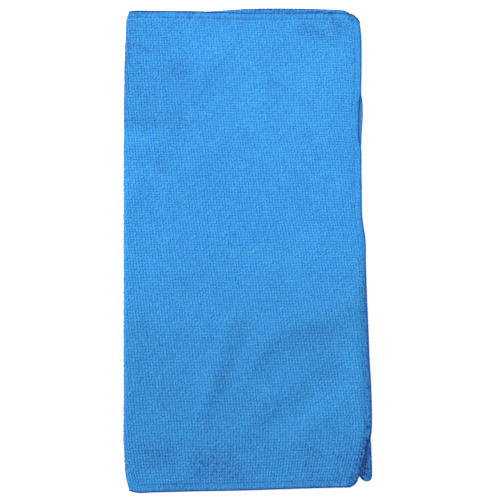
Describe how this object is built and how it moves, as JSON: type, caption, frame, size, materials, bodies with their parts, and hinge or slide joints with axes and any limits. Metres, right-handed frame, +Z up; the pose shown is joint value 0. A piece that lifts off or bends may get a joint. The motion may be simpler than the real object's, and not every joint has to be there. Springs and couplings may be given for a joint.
{
  "type": "microfibre cloth",
  "caption": "Square looped-pile cleaning cloth with overlocked edges and round corners, folded once and lying flat as a tall rectangle.",
  "frame": {"origin": "middle of the folded cloth's footprint, on the surface that it lies on", "axes": "+X from the fold towards the free edges, +Y along the fold towards the cloth's top end, +Z up"},
  "size_m": [0.2057, 0.4056, 0.0074],
  "materials": {
    "blue_pile": "matte looped pile",
    "blue_thread": "matte sewing thread"
  },
  "bodies": {
    "root": {"microfibre_cloth": "blue_pile"}
  },
  "joints": []
}
